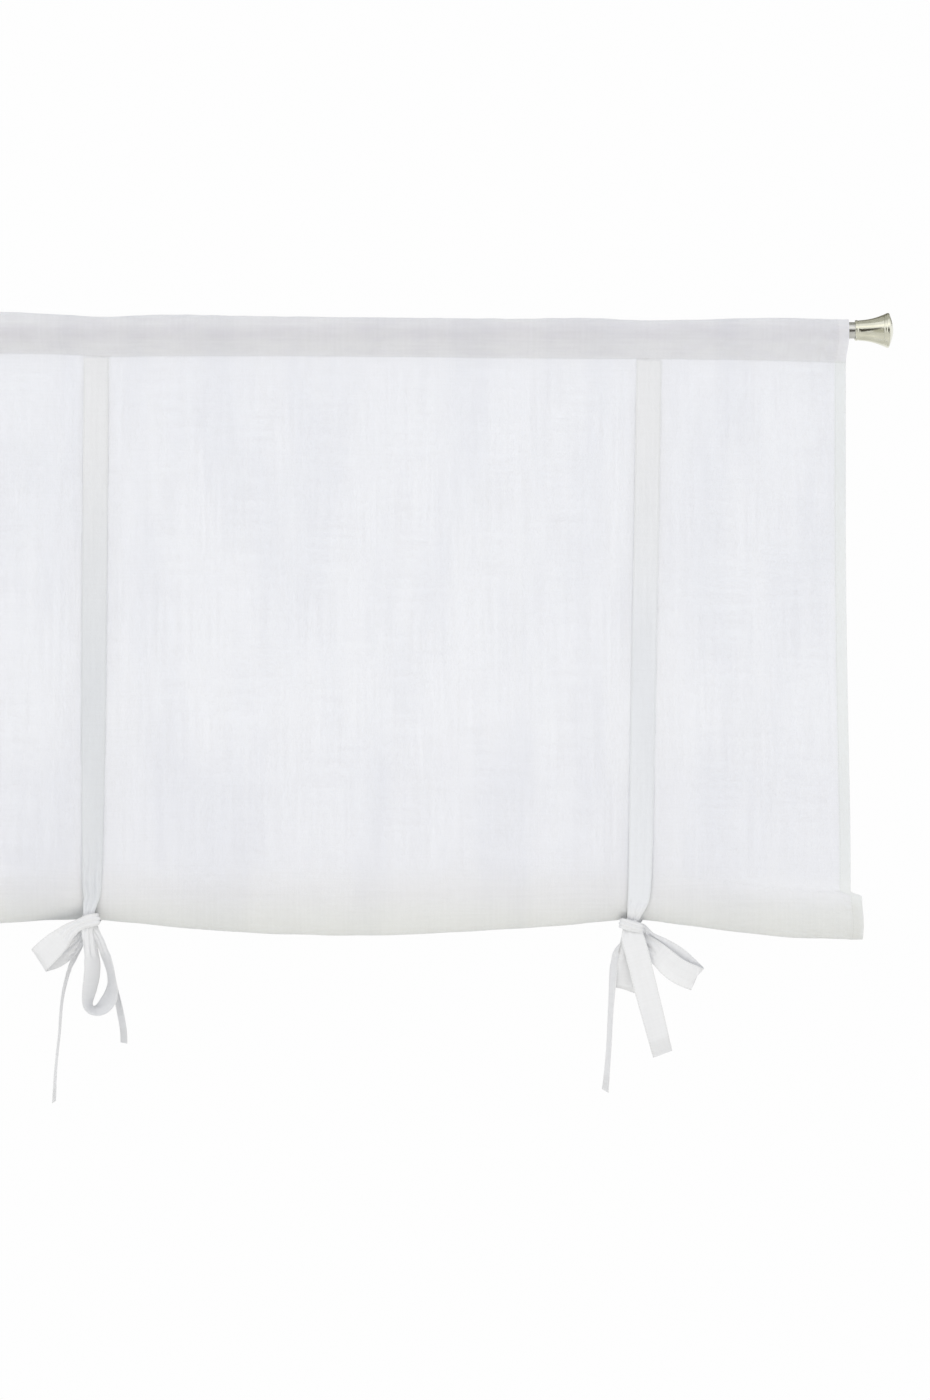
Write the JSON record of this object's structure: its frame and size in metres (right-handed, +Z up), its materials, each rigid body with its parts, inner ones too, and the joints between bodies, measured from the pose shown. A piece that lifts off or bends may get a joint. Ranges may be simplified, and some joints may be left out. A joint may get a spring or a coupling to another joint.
{
  "type": "roll-up curtain with rod",
  "caption": "Semi-sheer linen curtain on a metal rod with trumpet-shaped finials, its lower part rolled up and held by tapes tied in bows.",
  "frame": {"origin": "on the rod's axis at mid-width, where the rod is held up", "axes": "+X along the rod, to the right as the room sees it; -Y is the cloth's front, towards the room; +Z up"},
  "size_m": [1.0942, 0.0518, 0.8268],
  "materials": {
    "panel_linen": "semi-sheer plain weave with slubs, matt",
    "tie_tape": "matt woven tape",
    "rod_steel": "brushed nickel, slightly warm",
    "finial_nickel": "brushed nickel, slightly warm"
  },
  "bodies": {
    "root": {"curtain_panel": "panel_linen", "tie_left_front": "tie_tape", "tie_left_back": "tie_tape", "tie_right_front": "tie_tape", "tie_right_back": "tie_tape", "curtain_rod": "rod_steel", "finial_right": "finial_nickel", "finial_left": "finial_nickel"}
  },
  "joints": []
}
